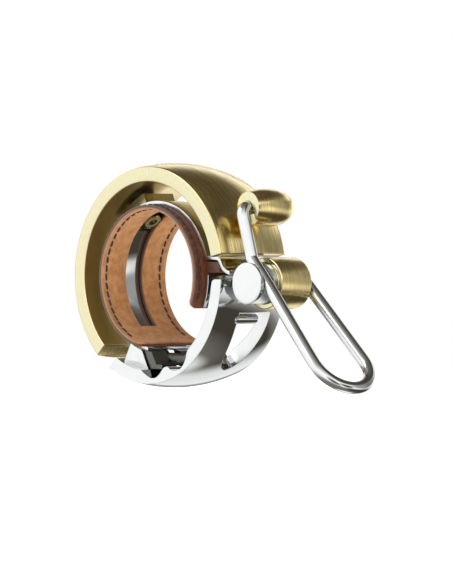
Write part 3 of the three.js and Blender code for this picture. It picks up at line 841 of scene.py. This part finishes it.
# ---------- hinge, striker and clamp ----------
def make_housing():
    y0, y1, seat_y, seat_r = HOUSING_LOW.y, HOUSING_HIGH.y, HOUSING["seat_y"], HOUSING["seat_r"]
    outer, inner, bore, floor = HOUSING["outer"], HOUSING["inner"], HOUSING["bore"], HOUSING["floor"]
    front, back = HOUSING["front_edge"], HOUSING["back_edge"]
    profile = [(bore, floor), (inner, floor), (inner, y0)]
    profile += arc(front, -90, 0, 6, (outer - front, y0 + front))
    profile += arc(back, 0, 90, 6, (outer - back, y1 - back))
    profile += [(seat_r, y1), (seat_r, seat_y), (bore, seat_y)]
    body = revolve("housing_barrel", profile, steps=128, centre=AXIS)
    start, end = RIM_OPENING["from"], RIM_OPENING["to"]
    opening = arc(8, start, end, 40, AXIS) + arc(0.5, end, start, 8, AXIS)
    boolean(body, prism("rim", opening, seat_y, y1 + PAST))
    finish_piece(body, "collar", ["spring_housing"], BRASS_HOUSING)
    rim, edge, end = LID["outer"], LID["edge"], y0 + LID["thick"]
    lid = [(bore, y0 + 0.05), (bore + 0.1, y0), (rim - edge, y0), (rim, y0 + edge), (rim, end), (bore, end)]
    cap = revolve("housing_lid", lid, centre=AXIS)
    finish_piece(cap, "collar", ["housing_cap"], BRASS_HOUSING)


def leg_point(leg, t, y):
    """A point of a leg, t mm along it from where it passes nearest the pin's axis."""
    dx, dz = polar(1.0, leg["dir"])
    return Vector((PIVOT.x - dz * leg["offset"] + t * dx, y, PIVOT.z + dx * leg["offset"] + t * dz))


def arm_points():
    """Centre line of the hammer arm: out of the hammer, round a bend and down to the corner."""
    front, turn = WIRE["front"], WIRE["turn"]
    long = HAMMER.z - BEND.z
    run = (BEND.x - HAMMER.x) / long

    def arm(drop, y):
        return Vector((HAMMER.x + run * drop, y, HAMMER.z - drop))

    points = [arm(0, y) for y in (2.0, -1.0, -3.0)]
    for a in range(0, 91, 9):
        lean = math.radians(a)
        points.append(arm(turn * (1 - math.cos(lean)), front + turn - turn * math.sin(lean)))
    return points + [arm(drop, front) for drop in (3.5, 7.0, 10.5, long)]


def loop_points():
    """Centre line of the front leg, the round loop and the rear leg."""
    front, foot, rear = WIRE["front"], WIRE["foot"], WIRE["rear"]
    points = [leg_point(FRONT_LEG, t, front) for t in (-3.6, -1.0, 2.0)]
    for t, y in ((8, -7.42), (14, -7.65), (20, -7.9), (LOOP_AT - 1.5, foot)):
        points.append(leg_point(FRONT_LEG, t, y))
    first, last = leg_point(FRONT_LEG, LOOP_AT, foot), leg_point(REAR_LEG, LOOP_AT, rear)
    deep = Vector((*polar(LOOP_R, (FRONT_LEG["dir"] + REAR_LEG["dir"]) / 2), 0.0)).xzy
    for a in range(-88, 89, 8):
        depth, side = polar(1.0, a)
        points.append((first + last) / 2 + (last - first) / 2 * side + deep * depth)
    return points + [leg_point(REAR_LEG, t, rear) for t in (LOOP_AT - 1.5, 20, 14, 8, 3, 0, -2.5)]


def refine(points, longest=0.7):
    """Splits long straight stretches so that the tube's rings stay evenly spaced."""
    fine = [points[0]]
    for a, b in zip(points, points[1:]):
        steps = max(1, math.ceil((b - a).length / longest))
        fine += [a.lerp(b, n / steps) for n in range(1, steps + 1)]
    return fine


def make_lever():
    arm = arm_points()
    path = refine(arm) + smooth_path(arm[-1:] + loop_points(), 8)[1:]
    radii = [WIRE["radius"] - WIRE["slack"]] * len(path)
    radii[-1] -= 0.3  # a broken edge at the rear leg's end
    wire = tube("lever_rod", path, radii, 32)
    finish_piece(wire, "striker", ["lever_wire"], CHROME, 40)


def bullet_profile(y0, y1):
    """A flat face, a side that swells to the belly and a blunt round nose, as (radius, y)."""
    face, belly, middle, edge = BULLET["face"], BULLET["belly"], BULLET["belly_y"], BULLET["edge"]
    profile = [(0.0, y0), (face - edge, y0), (face - 0.07, y0 + 0.07), (face, y0 + edge)]
    for n in range(1, 12):
        t = n / 12
        swell = (belly - face) * math.sin(t * math.pi / 2)
        profile.append((face + swell, y0 + edge + (middle - y0 - edge) * t))
    for n in range(25):
        lean = math.sin(math.radians(90 * n / 24)) ** 0.75
        profile.append((belly * math.sqrt(max(1 - lean ** 2.6, 0)), middle + (y1 - middle) * lean))
    return profile


def make_hammer():
    y0, centre = HAMMER_LOW.y, (HAMMER.x, HAMMER.z)
    body = revolve("hammer_bullet", bullet_profile(y0, HAMMER_HIGH.y), centre=centre)
    boolean(body, disc("bore", BULLET["bore"], y0 - PAST, BULLET["bore_end"], centre, 48))
    lean = math.atan2(BEND.x - HAMMER.x, HAMMER.z - BEND.z)
    across, down = Vector((math.cos(lean), math.sin(lean))), Vector((math.sin(lean), -math.cos(lean)))
    half, long = BULLET_SLOT["half"], BULLET_SLOT["long"]
    sides = ((-half, 0), (half, 0), (half, long), (-half, long))
    corners = [tuple(Vector(centre) + across * a + down * d) for a, d in sides]
    boolean(body, prism("groove", corners, y0 - PAST, y0 + BULLET_SLOT["deep"]))
    finish_piece(body, "striker", ["hammer"], BRASS_HAMMER, 30)


def make_pin():
    low, high = box_mm("pivot_pin")
    y0, y1, head = low.y, high.y, PIN["head"]
    neck, shaft, neck_y0 = PIN["neck"], PIN["shaft"], y0 + PIN["head_long"]
    face = [(head * s, y0 + 0.02 + 0.16 * s ** 4) for s in (0.0, 0.2, 0.4, 0.6, 0.75, 0.86, 0.93)]
    rim = [
        (head - 0.09, y0 + 0.22), (head - 0.01, y0 + 0.32), (head, y0 + 0.45), (head, y0 + 0.95),
        (head - 0.07, y0 + 1.1), (head - 0.19, neck_y0),
    ]
    stem = [
        (neck + 0.2, neck_y0), (neck, neck_y0 + 0.25), (neck, PIN["front"] - 0.05), (shaft, PIN["front"]),
        (shaft, PIN["rear"]), (neck, PIN["rear"]), (neck, PIN["tail"]), (shaft, PIN["tail"]),
        (shaft, y1 - 0.2), (shaft - 0.2, y1), (0.0, y1),
    ]
    body = revolve("pivot_pin_body", face + rim + stem, centre=AXIS)
    finish_piece(body, "striker", ["pivot_pin"], CHROME_HEAD, 30)


def make_pin_clip():
    """A flat retaining ring with a gap in it."""
    low, high = box_mm("pin_clip")
    inner, outer = CLIP["inner"], high.x - PIVOT.x
    ring = [
        (inner, low.y), (outer - 0.1, low.y), (outer - 0.01, low.y + 0.1), (outer - 0.01, high.y - 0.15),
        (outer - 0.15, high.y), (inner, high.y),
    ]
    clip = revolve("retaining_ring", ring, steps=60, centre=AXIS)
    (x, z), at, out = AXIS, CLIP["gap"], CLIP["gap_out"]
    gap = [(x, z - at), (x + 4, z - out), (x + 4, z + out), (x, z + at)]
    boolean(clip, prism("gap", gap, low.y - PAST, high.y + PAST))
    finish_piece(clip, "striker", ["pin_clip"], CHROME_HEAD, 30)


def make_clamp_screw():
    """A socket head, and a shank ringed with grooves where its thread is."""
    x0, x1, head, shank = SCREW_LOW.x, SCREW_HIGH.x, SCREW_HEAD["radius"], THREAD_SHAPE["radius"]
    key, key_end, neck = SCREW_HEAD["key"], x0 + SCREW_HEAD["key_deep"], x0 + SCREW_HEAD["long"]
    profile = [(0, key_end), (key, key_end), (key, x0), (head - 0.25, x0), (head, x0 + 0.25)]
    profile += [(head, neck - 0.1), (head - 0.1, neck), (shank, neck)]
    at, pitch = neck + 0.2, THREAD_SHAPE["pitch"]
    while at < x1 - pitch:
        profile += [(shank, at), (THREAD_SHAPE["root"], at + pitch / 2)]
        at += pitch
    profile += [(shank, x1 - 0.3), (shank - 0.3, x1), (0, x1)]
    screw = rod("clamp_bolt", profile, clamp_axis(), 36)
    finish_piece(screw, "clamp_screw", ["clamp_screw"], STEEL, 30)


def make_clamp_nut():
    y0, y1, radius, edge = NUT_LOW.y, NUT_HIGH.y, NUT_SHAPE["radius"], NUT_SHAPE["edge"]
    end = radius - 0.23
    profile = [(0.0, y0), (end, y0), (radius, y0 + edge), (radius, y1 - edge), (end, y1), (0.0, y1)]
    nut = revolve("barrel_nut", profile, steps=48, centre=((NUT_LOW.x + NUT_HIGH.x) / 2, SCREW.z))
    thread = NUT_SHAPE["thread"]
    boolean(nut, rod("thread", [(0, 0), (thread, 0), (thread, 20), (0, 20)], clamp_axis(), 32))
    finish_piece(nut, "bracket", ["clamp_nut"], STEEL, 30)


def make_window_bar():
    """A stub across the window, with domed ends."""
    centre = ((BAR_LOW.x + BAR_HIGH.x) / 2, (BAR_LOW.z + BAR_HIGH.z) / 2)
    y0, y1, radius, dome = BAR_LOW.y, BAR_HIGH.y, (BAR_HIGH.x - BAR_LOW.x) / 2 - 0.01, 0.9
    ends = [(radius * s, dome * (1 - c)) for c, s in arc(1.0, 0, 90, 6)]
    profile = [(r, y0 + d) for r, d in ends] + [(r, y1 - d) for r, d in reversed(ends)]
    bar = revolve("window_bar", profile, steps=40, centre=centre)
    finish_piece(bar, "bracket", ["window_pin"], CHROME, 30)


def dress_frame():
    """Materials of the small CAD pieces that stay as they are."""
    kept = {
        "ringer_damper": NYLON, "ringer_washer": STEEL, "screw_washer": STEEL, "front_bush": BRONZE,
        "rear_bush": BRONZE, "torsion_spring": SPRING_STEEL,
    }
    for node, material in kept.items():
        obj = frame["nodes"][node]
        obj.data.materials.clear()
        obj.data.materials.append(material)


# ---------- studio ----------
# Brightness against height, from -1 straight down to 1 straight up, behind the bell and before it.
BACK_BANDS = [
    (-1.0, 0.22), (-0.72, 0.05), (-0.46, 0.05), (-0.38, 0.20), (-0.29, 0.62), (-0.10, 0.90), (0.17, 0.90),
    (0.225, 0.75), (0.26, 0.08), (0.30, 0.08), (0.34, 1.0), (0.47, 0.80), (0.59, 0.10), (0.80, 0.05),
    (1.0, 0.12),
]
FRONT_BANDS = [(-1.0, 0.15), (-0.6, 0.20), (-0.3, 0.75), (-0.1, 1.0), (0.4, 1.0), (0.75, 0.55), (1.0, 0.12)]
PATCHES = [  # direction, full within and none beyond (degrees), brightness
    ((-0.60, 0.60, -0.53), 12, 32, 0.72),
    ((0.46, 0.86, 0.22), 10, 33, 0.17),
    ((-0.15, 0.22, -0.90), 6, 22, 0.95),
    ((0.85, -0.50, 0.0), 6, 26, 0.10),
    ((0.98, 0.12, 0.05), 6, 20, 0.06),
    ((-0.99, 0.10, 0.0), 6, 20, 0.10),
    ((-0.71, 0.67, -0.22), 6, 12, 0.22),
    ((0.72, 0.66, 0.22), 8, 20, 0.30),
]
STUDIO_STRENGTH = 1.6
SOFTBOX = {"at": (-0.10, -0.30, 0.32), "size": (0.30, 0.20), "power": 0.4}  # metres and watts


def make_world():
    """Studio banded by height, with soft patches, which the metal mirrors; the camera sees plain white."""
    world = bpy.data.worlds.new("studio")
    bpy.context.scene.world = world
    world.use_nodes = True
    tree = world.node_tree
    tree.nodes.clear()
    new, link = tree.nodes.new, tree.links.new
    direction = new("ShaderNodeTexCoord").outputs["Generated"]
    parts = new("ShaderNodeSeparateXYZ")
    link(direction, parts.inputs[0])

    def remap(value, low, high):
        node = new("ShaderNodeMapRange")
        node.interpolation_type = "SMOOTHSTEP"
        link(value, node.inputs["Value"])
        node.inputs["From Min"].default_value = low
        node.inputs["From Max"].default_value = high
        return node.outputs[0]

    def blend(factor, a, b):
        node = new("ShaderNodeMix")
        node.data_type = "RGBA"
        link(factor, node.inputs[0])
        for socket, value in ((node.inputs[6], a), (node.inputs[7], b)):
            if isinstance(value, bpy.types.NodeSocket):
                link(value, socket)
            else:
                socket.default_value = (value, value, value, 1.0)
        return node.outputs[2]

    def bands(stops):
        """Brightness by height; the darker a band, the warmer it is."""
        height = new("ShaderNodeMapRange")
        link(parts.outputs[2], height.inputs["Value"])
        height.inputs["From Min"].default_value = -1.0
        ramp = new("ShaderNodeValToRGB")
        link(height.outputs[0], ramp.inputs[0])
        elements = ramp.color_ramp.elements
        while len(elements) < len(stops):
            elements.new(0.5)
        for element, (z, value) in zip(elements, stops):
            element.position = (z + 1) / 2
            warmth = max(0.0, 1.0 - 2.5 * value)
            element.color = (value, value * (1 - 0.14 * warmth), value * (1 - 0.36 * warmth), 1.0)
        return ramp.outputs[0]

    def patch(axis, inner, outer):
        """1 within `inner` degrees of the axis, 0 beyond `outer` degrees."""
        dot = new("ShaderNodeVectorMath")
        dot.operation = "DOT_PRODUCT"
        link(direction, dot.inputs[0])
        dot.inputs[1].default_value = Vector(axis).normalized()
        return remap(dot.outputs["Value"], math.cos(math.radians(outer)), math.cos(math.radians(inner)))

    light = blend(remap(parts.outputs[1], -0.15, 0.25), bands(FRONT_BANDS), bands(BACK_BANDS))
    for axis, inner, outer, value in PATCHES:
        light = blend(patch(axis, inner, outer), light, value)
    studio = new("ShaderNodeBackground")
    link(light, studio.inputs["Color"])
    studio.inputs["Strength"].default_value = STUDIO_STRENGTH
    plain = new("ShaderNodeBackground")
    plain.inputs["Color"].default_value = (1.0, 1.0, 1.0, 1.0)
    rays = new("ShaderNodeLightPath")
    choose = new("ShaderNodeMixShader")
    link(rays.outputs["Is Camera Ray"], choose.inputs[0])
    link(studio.outputs[0], choose.inputs[1])
    link(plain.outputs[0], choose.inputs[2])
    link(choose.outputs[0], new("ShaderNodeOutputWorld").inputs["Surface"])


def make_stage():
    """A pale floor well below the bell, which the metal doesn't mirror, and one large soft lamp."""
    half, z = FLOOR["half"], FLOOR["z"]
    corners = [(-half, -half, z), (half, -half, z), (half, half, z), (-half, half, z)]
    floor = raw_mesh("floor", corners, [(0, 1, 2, 3)])
    material = bpy.data.materials.new("pale_floor")
    material.use_nodes = True
    shader = material.node_tree.nodes["Principled BSDF"]
    shader.inputs["Base Color"].default_value = (0.9, 0.9, 0.9, 1.0)
    shader.inputs["Roughness"].default_value = 0.9
    shader.inputs["Emission Color"].default_value = (1.0, 1.0, 1.0, 1.0)
    shader.inputs["Emission Strength"].default_value = 1.0
    floor.data.materials.append(material)
    floor.visible_glossy = False
    lamp = bpy.data.lights.new("softbox", "AREA")
    lamp.shape = "RECTANGLE"
    lamp.size, lamp.size_y = SOFTBOX["size"]
    lamp.energy = SOFTBOX["power"]
    lamp_object = bpy.data.objects.new("softbox", lamp)
    bpy.context.scene.collection.objects.link(lamp_object)
    lamp_object.location = SOFTBOX["at"]
    lamp_object.rotation_euler = (-Vector(lamp_object.location)).to_track_quat("-Z", "Y").to_euler()


def make_camera():
    """Stands off the front end of the bar's axis, turned right and down to centre the bell."""
    azimuth, elevation = math.radians(CAMERA["azimuth"]), math.radians(CAMERA["elevation"])
    right = Vector((math.cos(azimuth), math.sin(azimuth), 0.0))
    level = Vector((math.sin(azimuth), -math.cos(azimuth), 0.0))
    back = level * math.cos(elevation) + Vector((0.0, 0.0, math.sin(elevation)))
    bar_front = Vector((0.0, FRONT, 0.0))
    place = bar_front + CAMERA["distance"] * back
    toward = bar_front + CAMERA["right"] * right - CAMERA["down"] * back.cross(right)
    camera = bpy.data.cameras.new("camera")
    camera.lens = CAMERA["lens"]
    camera.sensor_width = 36.0
    camera.clip_start = 0.05
    obj = bpy.data.objects.new("camera", camera)
    bpy.context.scene.collection.objects.link(obj)
    obj.location = place * MM
    obj.rotation_euler = (toward - place).to_track_quat("-Z", "Y").to_euler()
    bpy.context.scene.camera = obj


make_camera()
make_world()
make_stage()
make_ringer()
make_bracket()
make_leather()
make_tab()
make_stitches()
make_strap()
make_heel()
make_lug()
make_seat()
make_ringer_screw()
make_housing()
make_lever()
make_hammer()
make_pin()
make_pin_clip()
make_clamp_screw()
make_clamp_nut()
make_window_bar()
dress_frame()

bpy.context.scene.cycles.glossy_bounces = 10  # light has to get out from between the ringer and the strap
bpy.context.scene.view_settings.view_transform = "Standard"
